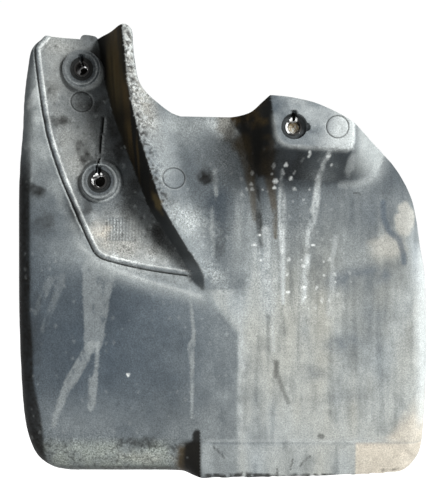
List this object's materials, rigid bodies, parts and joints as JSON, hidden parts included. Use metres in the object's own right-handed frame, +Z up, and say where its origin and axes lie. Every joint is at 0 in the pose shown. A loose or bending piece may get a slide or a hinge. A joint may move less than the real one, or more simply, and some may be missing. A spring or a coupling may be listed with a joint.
{
  "type": "mud flap",
  "caption": "Moulded rubber mud flap with a stiffening ridge, a raised screw pad and flange bosses lined with split steel collars.",
  "frame": {"origin": "on the pad's screw axis, in the plane of the pad's rear seat, where the flap meets the vehicle", "axes": "+Z up with the flap hanging on the vehicle, -Y out of the screw side that faces the wheel, +Y toward the vehicle, +X along the plate from the flange to the pad"},
  "size_m": [0.3369, 0.057, 0.3588],
  "materials": {
    "moulded_rubber": "worn matt moulded rubber, bleached by road dust, with dried mud runs and brown silt in the corners",
    "zinc_plated_steel": "dull zinc plate"
  },
  "bodies": {
    "root": {"flap_body": "moulded_rubber", "upper_flange_collar": "zinc_plated_steel", "lower_flange_collar": "zinc_plated_steel", "pad_collar": "zinc_plated_steel"}
  },
  "joints": []
}
